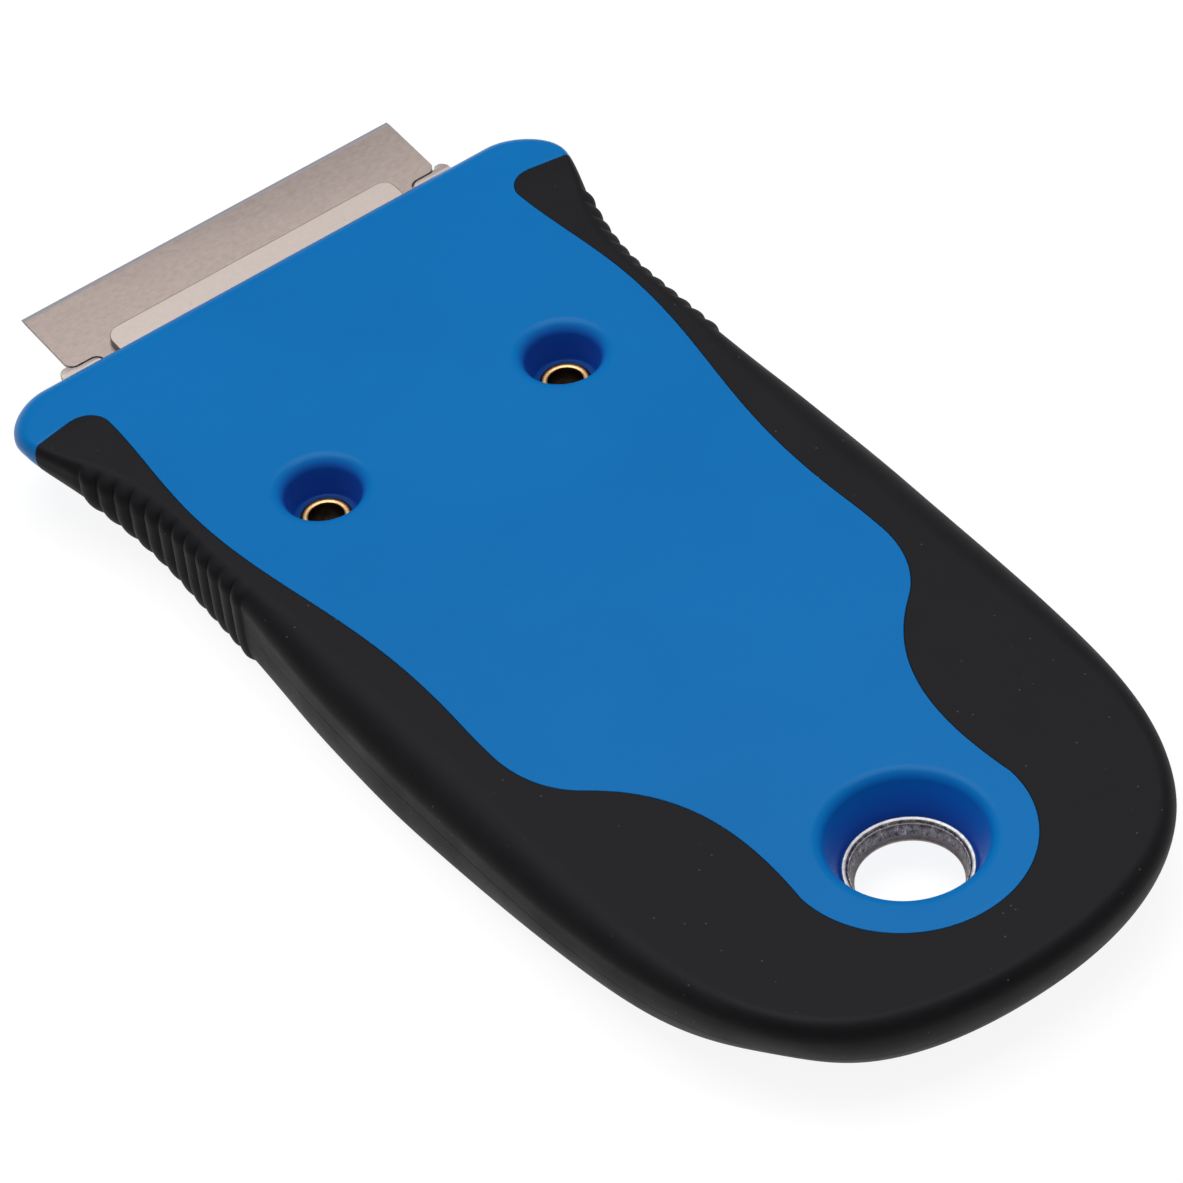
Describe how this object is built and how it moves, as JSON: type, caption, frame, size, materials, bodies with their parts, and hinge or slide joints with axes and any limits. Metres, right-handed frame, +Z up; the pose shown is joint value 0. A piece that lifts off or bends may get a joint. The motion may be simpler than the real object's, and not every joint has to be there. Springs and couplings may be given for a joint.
{
  "type": "window scraper",
  "caption": "Flat hand scraper with a two-part blue handle, black soft grip, riveted steel blade clamp, pull-out blade and a hang hole.",
  "frame": {"origin": "middle of the whole length and width, on the plane of the flat underside", "axes": "+Y along the handle towards the blade, +Z up out of the upper face, +X to the right"},
  "size_m": [0.0572, 0.1171, 0.0086],
  "materials": {
    "blue_plastic": "satin moulded",
    "soft_grip": "fine matte soft touch",
    "brass": "rolled, slightly dull",
    "plate_steel": "rolled sheet",
    "blade_steel": "hardened strip with a ground edge"
  },
  "bodies": {
    "handle": {"upper_shell": "blue_plastic", "lower_shell": "blue_plastic", "upper_grip": "soft_grip", "lower_grip": "soft_grip", "left_rivet": "brass", "right_rivet": "brass", "hang_eyelet": "plate_steel", "backing_plate": "plate_steel", "stop_plate": "plate_steel", "clamp_tongue": "plate_steel"},
    "blade": {"scraper_blade": "blade_steel"}
  },
  "joints": [
    {"name": "blade_slide", "type": "slide", "parent": "handle", "child": "blade", "axis": [0, 0.9964, 0.0842], "range_m": [0, 0.014]}
  ]
}
